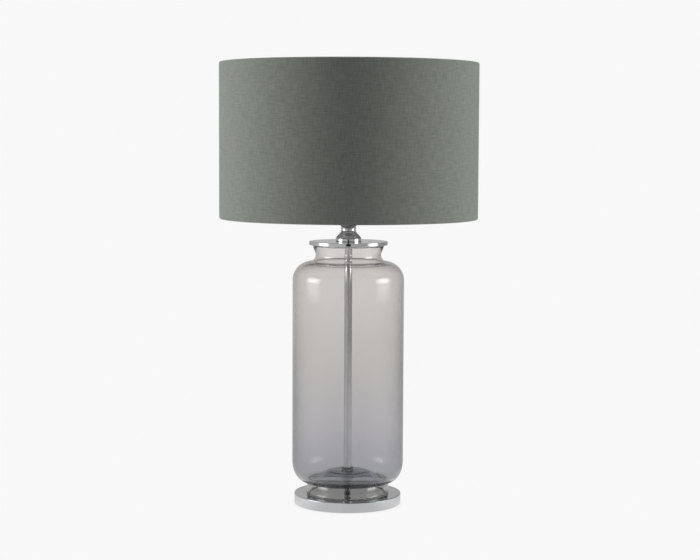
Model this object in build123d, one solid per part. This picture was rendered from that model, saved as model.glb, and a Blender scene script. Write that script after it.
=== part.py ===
from build123d import *
import math
import os

# Table lamp: a clear glass body on a chrome disc, with a chrome cap, a screw lampholder, a bulb
# and a straight drum shade of woven cloth. Millimetres, +Z up. The origin is the centre of the
# underside, so z = 0 is the surface that the lamp stands on. The front faces -Y.

# ---- driving dimensions ----
SHADE_RADIUS = 200.0
SHADE_BOTTOM = 446.0
SHADE_TOP = 686.0

BASE_RADIUS = 83.3
BASE_TOP = 16.5
BODY_RADIUS = 86.6
FOOT_RADIUS = 64.0
LIP_TOP = 404.2
CAP_RADIUS = 61.0
CAP_BOTTOM = 405.3
CAP_TOP = 410.8

# ---- fits ----
TOUCH_GAP = 0.3            # between faces of pieces that move past each other
RUNNING_FIT = 0.08         # radial play of a sliding bar or a screwed ring
PASS_FIT = 0.1             # radial play of a hole that a fixed rod goes through

# ---- base ----
SHELL_WALL = 1.5
SHELL_LIFT = 1.0           # the shell's lower edge above the table
SHELL_EDGE = 1.2           # rounding of the top edge
FELT_THICKNESS = 1.5
FELT_RADIUS = 79.0
NUT_POCKET_RADIUS = 14.0
NUT_POCKET_TOP = 8.5
CHANNEL_WIDTH = 11.0       # groove under the weight, from the centre to the inlet
CHANNEL_TOP = 12.5
INLET_HEIGHT = 7.5         # height of the flex inlet's axis
GLAND_BARREL_RADIUS = 4.4
GLAND_BORE_RADIUS = 3.2
GLAND_FLANGE_RADIUS = 6.0
GLAND_FLANGE_THICKNESS = 1.7
GLAND_DEPTH = 6.0

# ---- stem ----
ROD_RADIUS = 5.0
ROD_BORE_RADIUS = 3.5
ROD_BOTTOM = 3.0
ROD_TOP = 450.0
NUT_FLATS = 14.0           # width across flats of the thin nuts on the rod
NUT_HEIGHT = 4.0
WASHER_RADIUS = 12.0
WASHER_THICKNESS = 1.0
TUBE_RADIUS = 6.0
TUBE_WALL = 0.7
TUBE_SOCKET_DEPTH = 1.5
COLLAR_RADIUS = 8.6
COLLAR_TOP = 56.3
COLLAR_EDGE = 0.6
SPACER_RADIUS = 8.9        # round nut that clamps the glass from below
SPACER_HEIGHT = 12.0

# ---- glass body ----
GLASS_WALL = 3.0
FOOT_GASKET_THICKNESS = 0.7
FOOT_GASKET_WIDTH = 4.0
FOOT_EDGE = 1.4            # rounding of the foot's lower rim
FOOT_BEND = 28.0           # height at which the foot starts to draw in
FOOT_BELLY = 0.6           # how far the foot has drawn in there
FOOT_TAPER = 2.6           # how far it has drawn in where it meets the body
FOOT_ROOT = 64.5           # radius where the body's underside meets the foot
BODY_BOTTOM = 34.8
CORNER_HEIGHT = 32.0       # height of the elliptical corner above the body's underside
SHOULDER_RADIUS = 29.3
SHOULDER_HEIGHT = 350.5
NECK_RADIUS = 50.9         # narrowest part of the neck
NECK_HEIGHT = 389.4
NECK_SWEEP_RADIUS = 8.7
NECK_SWEEP_HEIGHT = 9.6
FLARE_RADIUS = 12.0
FLARE_ANGLE = 18.3
FLOOR_UNDERSIDE = 34.3     # underside of the floor where it joins the foot
DOME_TOP = 51.3            # the floor is pushed up into a dome with a flat top
DOME_UNDERSIDE = 47.3
DOME_FOOT_RADIUS = 58.0    # where the dome starts to rise
DOME_FLAT_RADIUS = 28.0
FLOOR_HOLE_RADIUS = 5.6
SEAL_THICKNESS = 2.5
SEAL_RADIUS = 9.0
FLOOR_WASHER_THICKNESS = 1.5
FLOOR_WASHER_RADIUS = 9.6

# ---- cap and neck fittings ----
LIP_GASKET_INNER = 49.5
LIP_GASKET_OUTER = 55.5
CAP_EDGE = 0.7
SPIGOT_RADIUS = 46.5       # ring under the cap that centres it in the glass neck
SPIGOT_WALL = 2.5
SPIGOT_DEPTH = 3.8
BELL_RADIUS = 20.0
BELL_RIM_HEIGHT = 3.7      # straight lower rim of the bell
WAIST_RADIUS = 11.3
BELL_WAIST_HEIGHT = 428.0
BELL_TOP = 430.0
BELL_HOLLOW_RADIUS = 9.0
BELL_HOLLOW_TOP = 423.0
BELL_RING_RADIUS = 12.1
BELL_RING_TOP = 431.6
BELL_RING_EDGE = 0.5
CUP_RADIUS = 20.0
CUP_FULL_HEIGHT = 446.0    # where the cup reaches its full radius
CUP_TOP = 452.0
CUP_WALL = 1.2
CUP_FLOOR = 2.0

# ---- lampholder ----
HOLDER_RADIUS = 20.5
HOLDER_BOTTOM = 440.0
HOLDER_TOE_RADIUS = 12.5
HOLDER_SKIRT_RADIUS = 18.3
HOLDER_SKIRT_HEIGHT = 446.5
HOLDER_FLOOR_TOP = 445.0
HOLDER_NUT_WELL_RADIUS = 10.0
HOLDER_CAVITY_RADIUS = 17.5
HOLDER_CAVITY_BOTTOM = 452.3
HOLDER_TOP = 468.0
SLEEVE_THREAD_RADIUS = 19.8
SLEEVE_BORE_RADIUS = 16.5
SLEEVE_SHOULDER_RADIUS = 25.0
SLEEVE_SHOULDER_BOTTOM = 474.2
FITTER_BOTTOM = 477.0
SLEEVE_TOP = 500.0
INSULATOR_RADIUS = 16.2
INSULATOR_BOTTOM = 462.0
INSULATOR_TOP = 472.0
SHELL_THREAD_RADIUS = 14.0
SHELL_THREAD_WALL = 0.6
SHELL_THREAD_TOP = 497.0
SHELL_FLANGE_RADIUS = 16.0
CONTACT_WIDTH = 5.0
CONTACT_LENGTH = 16.0
CONTACT_THICKNESS = 0.5
CONTACT_RISE = 2.3
TERMINAL_SPREAD = 9.0
TERMINAL_SETBACK = -5.0
TERMINAL_SHANK_RADIUS = 1.5
TERMINAL_SHANK_LENGTH = 5.0
TERMINAL_HEAD_RADIUS = 2.9
TERMINAL_HEAD_HEIGHT = 2.2
TERMINAL_SLOT = 0.8

# ---- switch: a bar pushed through the lampholder from side to side ----
BAR_RADIUS = 2.5
BAR_SETBACK = 12.0         # the bar's axis behind the lamp's axis
BAR_HEIGHT = 456.0
BAR_TRAVEL = 5.0
BAR_REACH = 18.8           # inner face of the right-hand button, at rest
BUTTON_RADIUS = 3.6
BUTTON_LENGTH = 3.2
BLOCK_WIDTH = 14.0
BLOCK_DEPTH = 6.4
BLOCK_HEIGHT = 7.0

# ---- shade ----
CLOTH_THICKNESS = 0.8
LINING_THICKNESS = 0.6
HOOP_WIRE_RADIUS = 1.5
ROLL_TAIL_ANGLE = 60.0     # how far the cloth's tail stops short of closing round the hoop
ARM_WIRE_RADIUS = 1.7
ARM_COUNT = 3
ARM_FIRST_ANGLE = 90.0     # one arm points to the back
ARM_FOOT_LENGTH = 11.0
ARM_SLOPE_RUN = 11.0
ARM_BEND_RADIUS = 7.0
ARM_CLEARANCE = 0.4
WELD_DEPTH = 0.3
FITTER_THICKNESS = 2.0
FITTER_BORE_RADIUS = 20.5
FITTER_RADIUS = 28.0
RING_HEIGHT = 8.0
RING_RADIUS = 27.0
RING_FLUTES = 24
RING_FLUTE_RADIUS = 1.3

# ---- bulb ----
BULB_CAP_RADIUS = 13.2
BULB_CAP_BOTTOM = 477.0
BULB_CAP_TOP = 502.0
BULB_CAP_WALL = 0.5
BULB_INSULATOR_RADIUS = 9.0
BULB_CONTACT_RADIUS = 4.5
BULB_CONTACT_BOTTOM = 475.0
BULB_INSULATOR_BOTTOM = 475.9
BULB_HOUSING_FOOT = 14.0
BULB_HOUSING_RADIUS = 27.0
BULB_HOUSING_TOP = 535.0
BULB_HOUSING_WALL = 1.6
BULB_RADIUS = 30.0
BULB_WAIST_HEIGHT = 551.0
BULB_TOP = 584.0
BULB_GLOBE_WALL = 1.2
BOARD_RADIUS = 24.0
BOARD_THICKNESS = 1.6


def turned(outline):
    """Turns a closed outline, drawn as (radius, height), about the lamp's axis."""
    return revolve(Plane.XZ * make_face(outline), Axis.Z)


def lathe(*points):
    """Turns a closed outline of straight runs through (radius, height) points."""
    return turned(Polyline(*points, close=True))


def ring(bore, radius, low, high, edge=0.0):
    """A flat ring or short tube, with its outer edges rounded."""
    if edge <= 0.0:
        return lathe((bore, low), (radius, low), (radius, high), (bore, high))
    outline = FilletPolyline(
        (bore, low), (radius, low), (radius, high), (bore, high),
        radius=edge,
    )
    return turned([outline, Line((bore, high), (bore, low))])


def hex_nut(low, height, flats=NUT_FLATS):
    """A hexagon nut on the rod."""
    blank = extrude(RegularPolygon(flats / 2, 6, major_radius=False), height)
    return Pos(0, 0, low) * (blank - extrude(Circle(ROD_RADIUS + PASS_FIT / 2), height))


# ---------------------------------------------------------------- base

def base_felt():
    return ring(NUT_POCKET_RADIUS, FELT_RADIUS, 0, FELT_THICKNESS)


def base_shell():
    """Spun disc, open underneath, with a hole for the rod and one for the flex inlet."""
    inner = BASE_RADIUS - SHELL_WALL
    plate = BASE_TOP - SHELL_WALL
    hole = ROD_RADIUS + PASS_FIT
    corner = FilletPolyline(
        (BASE_RADIUS, SHELL_LIFT), (BASE_RADIUS, BASE_TOP), (hole, BASE_TOP),
        radius=SHELL_EDGE,
    )
    inside = Polyline(
        (hole, BASE_TOP), (hole, plate), (inner, plate), (inner, SHELL_LIFT),
        (BASE_RADIUS, SHELL_LIFT),
    )
    return turned([corner, inside]) - inlet_cylinder(GLAND_BARREL_RADIUS + PASS_FIT / 2)


def inlet_cylinder(radius, start=BASE_RADIUS - GLAND_DEPTH, end=BASE_RADIUS + GLAND_DEPTH):
    """A cylinder on the flex inlet's axis, which points straight back."""
    place = Plane((0, start, INLET_HEIGHT), x_dir=(1, 0, 0), z_dir=(0, 1, 0))
    return extrude(place * Circle(radius), end - start)


def base_weight():
    """Cast disc that fills the shell, with a nut pocket and a groove for the flex below."""
    radius = BASE_RADIUS - SHELL_WALL - TOUCH_GAP
    top = BASE_TOP - SHELL_WALL
    disc = lathe(
        (NUT_POCKET_RADIUS, FELT_THICKNESS), (radius, FELT_THICKNESS), (radius, top),
        (ROD_RADIUS + PASS_FIT, top), (ROD_RADIUS + PASS_FIT, NUT_POCKET_TOP),
        (NUT_POCKET_RADIUS, NUT_POCKET_TOP),
    )
    groove_height = CHANNEL_TOP - FELT_THICKNESS
    start = NUT_POCKET_RADIUS / 2
    groove = Pos(0, (start + BASE_RADIUS) / 2, FELT_THICKNESS + groove_height / 2) * Box(
        CHANNEL_WIDTH, BASE_RADIUS - start, groove_height
    )
    seat = Pos(0, 0, FELT_THICKNESS) * extrude(Circle(NUT_POCKET_RADIUS), groove_height)
    return disc - (groove - seat)


def cable_gland():
    """Rubber bush in the shell's wall, with its flange outside."""
    start = BASE_RADIUS - GLAND_DEPTH
    end = BASE_RADIUS + GLAND_FLANGE_THICKNESS
    barrel = inlet_cylinder(GLAND_BARREL_RADIUS, start, BASE_RADIUS)
    flange = inlet_cylinder(GLAND_FLANGE_RADIUS, BASE_RADIUS, end)
    flange = fillet(flange.edges().group_by(Axis.Y)[-1], GLAND_FLANGE_THICKNESS / 2)
    return barrel + flange - inlet_cylinder(GLAND_BORE_RADIUS, start, end)


def base_washer():
    low = NUT_POCKET_TOP - WASHER_THICKNESS
    return ring(ROD_RADIUS + PASS_FIT, WASHER_RADIUS, low, NUT_POCKET_TOP)


def base_nut():
    return hex_nut(NUT_POCKET_TOP - WASHER_THICKNESS - NUT_HEIGHT, NUT_HEIGHT)


# ---------------------------------------------------------------- stem

def threaded_rod():
    return ring(ROD_BORE_RADIUS, ROD_RADIUS, ROD_BOTTOM, ROD_TOP)


def floor_nut():
    """Tall round nut under the dome."""
    high = DOME_UNDERSIDE - FLOOR_WASHER_THICKNESS
    low = high - SPACER_HEIGHT
    return ring(ROD_RADIUS + PASS_FIT / 2, SPACER_RADIUS, low, high, COLLAR_EDGE)


def floor_washer():
    low = DOME_UNDERSIDE - FLOOR_WASHER_THICKNESS
    return ring(ROD_RADIUS + PASS_FIT, FLOOR_WASHER_RADIUS, low, DOME_UNDERSIDE)


def floor_seal():
    return ring(ROD_RADIUS + PASS_FIT, SEAL_RADIUS, DOME_TOP, DOME_TOP + SEAL_THICKNESS)


def floor_collar():
    """Turned collar on the dome's seal, with a socket that the centre tube stands in."""
    low = DOME_TOP + SEAL_THICKNESS
    blank = ring(ROD_RADIUS + PASS_FIT, COLLAR_RADIUS, low, COLLAR_TOP, COLLAR_EDGE)
    socket = extrude(Circle(TUBE_RADIUS + PASS_FIT), TUBE_SOCKET_DEPTH)
    return blank - Pos(0, 0, COLLAR_TOP - TUBE_SOCKET_DEPTH) * socket


def centre_tube():
    return ring(TUBE_RADIUS - TUBE_WALL, TUBE_RADIUS, COLLAR_TOP - TUBE_SOCKET_DEPTH, CAP_BOTTOM)


# ---------------------------------------------------------------- glass body

def glass_side(inset):
    """The side of the body as a chain of edges from its underside to its lip.

    inset is 0 for the outer face and the wall's thickness for the inner one.
    """
    corner_width = BODY_RADIUS - FOOT_ROOT
    corner_centre = (FOOT_ROOT, BODY_BOTTOM + CORNER_HEIGHT)
    corner = EllipticalCenterArc(
        corner_centre, corner_width - inset, CORNER_HEIGHT - inset,
        start_angle=270, arc_size=90,
    )
    wall = BODY_RADIUS - inset
    shoulder_centre = BODY_RADIUS - SHOULDER_RADIUS
    sweep_centre = NECK_RADIUS + NECK_SWEEP_RADIUS
    sweep_top = math.degrees(math.acos((sweep_centre - shoulder_centre) / SHOULDER_RADIUS))
    shoulder = CenterArc(
        (shoulder_centre, SHOULDER_HEIGHT), SHOULDER_RADIUS - inset, 0, sweep_top,
    )
    side = Line((wall, BODY_BOTTOM + CORNER_HEIGHT), (wall, SHOULDER_HEIGHT))
    sweep = EllipticalCenterArc(
        (sweep_centre, NECK_HEIGHT), NECK_SWEEP_RADIUS + inset, NECK_SWEEP_HEIGHT + inset,
        start_angle=270, arc_size=-90,
    )
    bridge = Line(shoulder @ 1, sweep @ 0)
    flare = CenterArc(
        (NECK_RADIUS + FLARE_RADIUS, NECK_HEIGHT), FLARE_RADIUS + inset, 180, -FLARE_ANGLE,
    )
    tip = flare @ 1
    run = (LIP_TOP - tip.Y) * math.tan(math.radians(FLARE_ANGLE))
    lip = Line(tip, (tip.X + run, LIP_TOP))
    return [corner, side, shoulder, bridge, sweep, flare, lip]


def dome_rise(foot, flat):
    """A smooth run up the dome between two (radius, height) points, level at both ends."""
    return Spline(foot, flat, tangents=[(-1, 0), (-1, 0)])


def glass_body():
    """Blown body with a hollow foot below its domed floor, open at the neck."""
    outer = glass_side(0)
    inner = glass_side(GLASS_WALL)
    foot_low = BASE_TOP + FOOT_GASKET_THICKNESS
    foot_bore = FOOT_RADIUS - GLASS_WALL
    foot = FilletPolyline(
        (foot_bore - FOOT_TAPER, FLOOR_UNDERSIDE), (foot_bore - FOOT_BELLY, FOOT_BEND),
        (foot_bore, foot_low), (FOOT_RADIUS, foot_low),
        (FOOT_RADIUS - FOOT_BELLY, FOOT_BEND), (FOOT_RADIUS - FOOT_TAPER, BODY_BOTTOM),
        radius=FOOT_EDGE,
    )
    root = Line((FOOT_RADIUS - FOOT_TAPER, BODY_BOTTOM), outer[0] @ 0)
    rim = Line(outer[-1] @ 1, inner[-1] @ 1)
    inside_foot = (DOME_FOOT_RADIUS, (inner[0] @ 0).Y)
    floor = Line(inner[0] @ 0, inside_foot)
    rise = dome_rise(inside_foot, (DOME_FLAT_RADIUS, DOME_TOP))
    below_foot = (DOME_FOOT_RADIUS, FLOOR_UNDERSIDE)
    middle = Polyline(
        (DOME_FLAT_RADIUS, DOME_TOP), (FLOOR_HOLE_RADIUS, DOME_TOP),
        (FLOOR_HOLE_RADIUS, DOME_UNDERSIDE), (DOME_FLAT_RADIUS, DOME_UNDERSIDE),
    )
    fall = dome_rise(below_foot, (DOME_FLAT_RADIUS, DOME_UNDERSIDE))
    heel = Line(below_foot, (foot_bore - FOOT_TAPER, FLOOR_UNDERSIDE))
    return turned([foot, root, *outer, rim, *inner, floor, rise, middle, fall, heel])


def foot_gasket():
    middle = FOOT_RADIUS - GLASS_WALL / 2
    half = FOOT_GASKET_WIDTH / 2
    return ring(middle - half, middle + half, BASE_TOP, BASE_TOP + FOOT_GASKET_THICKNESS)


# ---------------------------------------------------------------- cap and neck fittings

def lip_gasket():
    return ring(LIP_GASKET_INNER, LIP_GASKET_OUTER, LIP_TOP, CAP_BOTTOM)


def cap_disc():
    """Disc on the glass lip, with a ring below that centres it in the neck."""
    disc = ring(ROD_RADIUS + PASS_FIT, CAP_RADIUS, CAP_BOTTOM, CAP_TOP, CAP_EDGE)
    spigot = ring(SPIGOT_RADIUS - SPIGOT_WALL, SPIGOT_RADIUS, CAP_BOTTOM - SPIGOT_DEPTH, CAP_BOTTOM)
    return disc + spigot


def s_curve(low, high):
    """A smooth run between two (radius, height) points, upright at both ends."""
    return Spline(low, high, tangents=[(0, 1), (0, 1)])


def neck_bell():
    rim_top = CAP_TOP + BELL_RIM_HEIGHT
    bore = ROD_RADIUS + PASS_FIT
    sweep = s_curve((BELL_RADIUS, rim_top), (WAIST_RADIUS, BELL_WAIST_HEIGHT))
    rest = Polyline(
        (WAIST_RADIUS, BELL_WAIST_HEIGHT), (WAIST_RADIUS, BELL_TOP), (bore, BELL_TOP),
        (bore, BELL_HOLLOW_TOP), (BELL_HOLLOW_RADIUS, BELL_HOLLOW_TOP),
        (BELL_HOLLOW_RADIUS, CAP_TOP), (BELL_RADIUS, CAP_TOP), (BELL_RADIUS, rim_top),
    )
    return turned([sweep, rest])


def bell_ring():
    bore = ROD_RADIUS + PASS_FIT
    return ring(bore, BELL_RING_RADIUS, BELL_TOP, BELL_RING_TOP, BELL_RING_EDGE)


def holder_cup():
    """Flared cup that hides the foot of the lampholder."""
    bore = ROD_RADIUS + PASS_FIT
    floor = BELL_RING_TOP + CUP_FLOOR
    outside = s_curve((WAIST_RADIUS, BELL_RING_TOP), (CUP_RADIUS, CUP_FULL_HEIGHT))
    inside = s_curve((WAIST_RADIUS - CUP_WALL, floor), (CUP_RADIUS - CUP_WALL, CUP_FULL_HEIGHT))
    rim = Polyline(
        (CUP_RADIUS, CUP_FULL_HEIGHT), (CUP_RADIUS, CUP_TOP), (CUP_RADIUS - CUP_WALL, CUP_TOP),
        (CUP_RADIUS - CUP_WALL, CUP_FULL_HEIGHT),
    )
    foot = Polyline(
        (WAIST_RADIUS - CUP_WALL, floor), (bore, floor), (bore, BELL_RING_TOP),
        (WAIST_RADIUS, BELL_RING_TOP),
    )
    return turned([outside, rim, inside, foot])


# ---------------------------------------------------------------- lampholder

def bar_cylinder(radius, start, end):
    """A cylinder on the switch bar's axis, from side to side."""
    place = Plane((start, BAR_SETBACK, BAR_HEIGHT), x_dir=(0, 1, 0), z_dir=(1, 0, 0))
    return extrude(place * Circle(radius), end - start)


def bar_hole():
    return bar_cylinder(BAR_RADIUS + RUNNING_FIT, -HOLDER_RADIUS, HOLDER_RADIUS)


def holder_base():
    """Moulded lower half of the lampholder, with the rod's entry and the switch bar's holes."""
    bore = ROD_RADIUS + PASS_FIT
    solid = lathe(
        (bore, HOLDER_BOTTOM), (HOLDER_TOE_RADIUS, HOLDER_BOTTOM),
        (HOLDER_SKIRT_RADIUS, HOLDER_SKIRT_HEIGHT), (HOLDER_SKIRT_RADIUS, HOLDER_CAVITY_BOTTOM),
        (HOLDER_RADIUS, HOLDER_CAVITY_BOTTOM), (HOLDER_RADIUS, HOLDER_TOP),
        (HOLDER_CAVITY_RADIUS, HOLDER_TOP), (HOLDER_CAVITY_RADIUS, HOLDER_CAVITY_BOTTOM),
        (HOLDER_NUT_WELL_RADIUS, HOLDER_CAVITY_BOTTOM), (HOLDER_NUT_WELL_RADIUS, HOLDER_FLOOR_TOP),
        (bore, HOLDER_FLOOR_TOP),
    )
    return solid - bar_hole()


def holder_lock_nut():
    return hex_nut(HOLDER_FLOOR_TOP, NUT_HEIGHT)


def holder_sleeve():
    """Threaded skirt that carries the shade: a shoulder below and the ring's thread above."""
    shoulder_top = FITTER_BOTTOM - TOUCH_GAP
    return lathe(
        (SLEEVE_BORE_RADIUS, HOLDER_TOP), (HOLDER_RADIUS, HOLDER_TOP),
        (HOLDER_RADIUS, SLEEVE_SHOULDER_BOTTOM),
        (SLEEVE_SHOULDER_RADIUS, SLEEVE_SHOULDER_BOTTOM), (SLEEVE_SHOULDER_RADIUS, shoulder_top),
        (SLEEVE_THREAD_RADIUS, shoulder_top), (SLEEVE_THREAD_RADIUS, SLEEVE_TOP),
        (SLEEVE_BORE_RADIUS, SLEEVE_TOP),
    )


def insulator_blank():
    return ring(0, INSULATOR_RADIUS, INSULATOR_BOTTOM, INSULATOR_TOP)


def thread_shell():
    """Brass screw shell that the bulb turns into, with a flange on the insulator."""
    outer = SHELL_THREAD_RADIUS + SHELL_THREAD_WALL
    flange_top = INSULATOR_TOP + SHELL_THREAD_WALL
    return lathe(
        (SHELL_THREAD_RADIUS, INSULATOR_TOP), (SHELL_FLANGE_RADIUS, INSULATOR_TOP),
        (SHELL_FLANGE_RADIUS, flange_top), (outer, flange_top), (outer, SHELL_THREAD_TOP),
        (SHELL_THREAD_RADIUS, SHELL_THREAD_TOP),
    )


def centre_contact():
    """Sprung brass tongue, bent up to meet the tip of the bulb."""
    half = CONTACT_LENGTH / 2
    third = CONTACT_LENGTH / 6
    low = INSULATOR_TOP
    top = INSULATOR_TOP + CONTACT_RISE
    side = make_face(Polyline(
        (-half, low), (-third * 2, low), (-third, top - CONTACT_THICKNESS),
        (third, top - CONTACT_THICKNESS), (third, top), (-third, top),
        (-third * 2, low + CONTACT_THICKNESS), (-half, low + CONTACT_THICKNESS), close=True,
    ))
    return extrude(Plane.XZ * side, CONTACT_WIDTH / 2, both=True)


def terminal_screws():
    """Two slotted screws in the insulator's underside, one for each wire."""
    shank = extrude(Circle(TERMINAL_SHANK_RADIUS), TERMINAL_SHANK_LENGTH)
    head = extrude(Circle(TERMINAL_HEAD_RADIUS), -TERMINAL_HEAD_HEIGHT)
    slot = Pos(0, 0, -TERMINAL_HEAD_HEIGHT) * Box(
        2 * TERMINAL_HEAD_RADIUS, TERMINAL_SLOT, TERMINAL_HEAD_HEIGHT
    )
    screw = shank + head - slot
    places = [(side * TERMINAL_SPREAD, TERMINAL_SETBACK, INSULATOR_BOTTOM) for side in (-1, 1)]
    return Compound([Pos(*place) * screw for place in places])


def contact_insulator():
    """The insulator, bored where the terminal screws go in."""
    body = insulator_blank()
    for side in (-1, 1):
        hole = extrude(Circle(TERMINAL_SHANK_RADIUS + PASS_FIT / 2), TERMINAL_SHANK_LENGTH)
        body -= Pos(side * TERMINAL_SPREAD, TERMINAL_SETBACK, INSULATOR_BOTTOM) * hole
    return body


def switch_block():
    """Snap switch inside the lampholder, worked by the bar that goes through it."""
    block = Pos(0, BAR_SETBACK, BAR_HEIGHT) * Box(BLOCK_WIDTH, BLOCK_DEPTH, BLOCK_HEIGHT)
    return block - bar_hole()


def switch_bar():
    """Push-through bar with a button on each end, shown pushed to the left."""
    left = -BAR_REACH - BAR_TRAVEL
    bar = bar_cylinder(BAR_RADIUS, left, BAR_REACH)
    buttons = (
        bar_cylinder(BUTTON_RADIUS, left - BUTTON_LENGTH, left)
        + bar_cylinder(BUTTON_RADIUS, BAR_REACH, BAR_REACH + BUTTON_LENGTH)
    )
    ends = buttons.edges().group_by(Axis.X)
    return bar + fillet(ends[0] + ends[-1], BUTTON_LENGTH / 4)


def shade_ring():
    """Screwed ring with a fluted grip, which holds the shade down on the sleeve's shoulder."""
    low = FITTER_BOTTOM + FITTER_THICKNESS + TOUCH_GAP
    blank = ring(SLEEVE_THREAD_RADIUS + RUNNING_FIT, RING_RADIUS, low, low + RING_HEIGHT)
    flute = Pos(0, 0, low) * extrude(Circle(RING_FLUTE_RADIUS), RING_HEIGHT)
    for index in range(RING_FLUTES):
        blank -= Rot(0, 0, index * 360 / RING_FLUTES) * Pos(RING_RADIUS, 0, 0) * flute
    return blank


# ---------------------------------------------------------------- shade

ROLL_RADIUS = HOOP_WIRE_RADIUS + CLOTH_THICKNESS
HOOP_RADIUS = SHADE_RADIUS - ROLL_RADIUS


def hoop(height):
    """A wire hoop, as a ring of round wire."""
    return turned(CenterArc((HOOP_RADIUS, height), HOOP_WIRE_RADIUS, 0, 360))


def bottom_hoop():
    return hoop(SHADE_BOTTOM + ROLL_RADIUS)


def top_hoop():
    return hoop(SHADE_TOP - ROLL_RADIUS)


def shade_fabric():
    """The cloth: a straight drum whose two edges are rolled round the wire hoops."""
    low = SHADE_BOTTOM + ROLL_RADIUS
    high = SHADE_TOP - ROLL_RADIUS
    turn = 270 - ROLL_TAIL_ANGLE
    face = SHADE_RADIUS
    back = SHADE_RADIUS - CLOTH_THICKNESS
    low_roll = [CenterArc((HOOP_RADIUS, low), size, 0, -turn)
                for size in (ROLL_RADIUS, HOOP_WIRE_RADIUS)]
    high_roll = [CenterArc((HOOP_RADIUS, high), size, 0, turn)
                 for size in (ROLL_RADIUS, HOOP_WIRE_RADIUS)]
    outline = [
        Line((face, low), (face, high)), high_roll[0], Line(high_roll[0] @ 1, high_roll[1] @ 1),
        high_roll[1], Line((back, high), (back, low)), low_roll[1],
        Line(low_roll[1] @ 1, low_roll[0] @ 1), low_roll[0],
    ]
    cloth = turned(outline)
    for path in arm_paths():
        cloth -= arm_wire(path, ARM_WIRE_RADIUS + ARM_CLEARANCE)
    return cloth


def shade_lining():
    """Stiff sheet behind the cloth, between the two hoops."""
    radius = SHADE_RADIUS - CLOTH_THICKNESS
    low = SHADE_BOTTOM + 2 * ROLL_RADIUS
    high = SHADE_TOP - 2 * ROLL_RADIUS
    return ring(radius - LINING_THICKNESS, radius, low, high)


def arm_paths():
    """One path for each arm, from its weld on the lower hoop up and in to the fitter ring."""
    low = SHADE_BOTTOM + ROLL_RADIUS
    high = FITTER_BOTTOM + FITTER_THICKNESS / 2
    start = HOOP_RADIUS - HOOP_WIRE_RADIUS + WELD_DEPTH
    bend = start - ARM_FOOT_LENGTH
    path = FilletPolyline(
        (start, 0, low), (bend, 0, low), (bend - ARM_SLOPE_RUN, 0, high),
        (FITTER_RADIUS - WELD_DEPTH, 0, high),
        radius=ARM_BEND_RADIUS,
    )
    step = 360 / ARM_COUNT
    return [Rot(0, 0, ARM_FIRST_ANGLE + index * step) * path for index in range(ARM_COUNT)]


def arm_wire(path, radius):
    """A round wire along a path."""
    section = Plane(path @ 0, z_dir=path % 0) * Circle(radius)
    return sweep(section, path)


def fitter_arms():
    return Compound([arm_wire(path, ARM_WIRE_RADIUS).solid() for path in arm_paths()])


def fitter_ring():
    high = FITTER_BOTTOM + FITTER_THICKNESS
    return ring(FITTER_BORE_RADIUS, FITTER_RADIUS, FITTER_BOTTOM, high, FITTER_THICKNESS / 4)


# ---------------------------------------------------------------- bulb

def bulb_contact():
    return ring(0, BULB_CONTACT_RADIUS, BULB_CONTACT_BOTTOM, BULB_INSULATOR_BOTTOM)


def bulb_insulator():
    return lathe(
        (0, BULB_INSULATOR_BOTTOM), (BULB_CONTACT_RADIUS, BULB_INSULATOR_BOTTOM),
        (BULB_INSULATOR_RADIUS, BULB_CAP_BOTTOM), (0, BULB_CAP_BOTTOM),
    )


def bulb_screw_cap():
    """Drawn metal cap, open at the top."""
    inner = BULB_CAP_RADIUS - BULB_CAP_WALL
    floor = BULB_CAP_BOTTOM + BULB_CAP_WALL
    return lathe(
        (0, BULB_CAP_BOTTOM), (BULB_INSULATOR_RADIUS, BULB_CAP_BOTTOM),
        (BULB_CAP_RADIUS, BULB_CAP_BOTTOM + BULB_CAP_RADIUS - BULB_INSULATOR_RADIUS),
        (BULB_CAP_RADIUS, BULB_CAP_TOP), (inner, BULB_CAP_TOP),
        (inner, floor + BULB_CAP_RADIUS - BULB_INSULATOR_RADIUS),
        (BULB_INSULATOR_RADIUS - BULB_CAP_WALL, floor), (0, floor),
    )


def bulb_housing():
    """Moulded cone between the screw cap and the globe."""
    wall = BULB_HOUSING_WALL
    outside = Spline(
        (BULB_HOUSING_FOOT, BULB_CAP_TOP), (BULB_HOUSING_RADIUS, BULB_HOUSING_TOP),
        tangents=[(0, 1), (1, 3)],
    )
    inside = Spline(
        (BULB_HOUSING_FOOT - wall, BULB_CAP_TOP), (BULB_HOUSING_RADIUS - wall, BULB_HOUSING_TOP),
        tangents=[(0, 1), (1, 3)],
    )
    return turned([outside, Line(outside @ 1, inside @ 1), inside, Line(inside @ 0, outside @ 0)])


def globe_line(inset):
    """The globe's side from its seat on the housing to its crown."""
    seat = (BULB_HOUSING_RADIUS - inset, BULB_HOUSING_TOP)
    waist = (BULB_RADIUS - inset, BULB_WAIST_HEIGHT)
    crown = (0, BULB_TOP - inset)
    return Spline(seat, waist, crown, tangents=[(1, 3), (-1, 0)])


def bulb_globe():
    outside = globe_line(0)
    inside = globe_line(BULB_GLOBE_WALL)
    return turned([outside, Line(outside @ 1, inside @ 1), inside, Line(inside @ 0, outside @ 0)])


def bulb_led_board():
    low = BULB_HOUSING_TOP - BOARD_THICKNESS
    return ring(0, BOARD_RADIUS, low, BULB_HOUSING_TOP)


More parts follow.
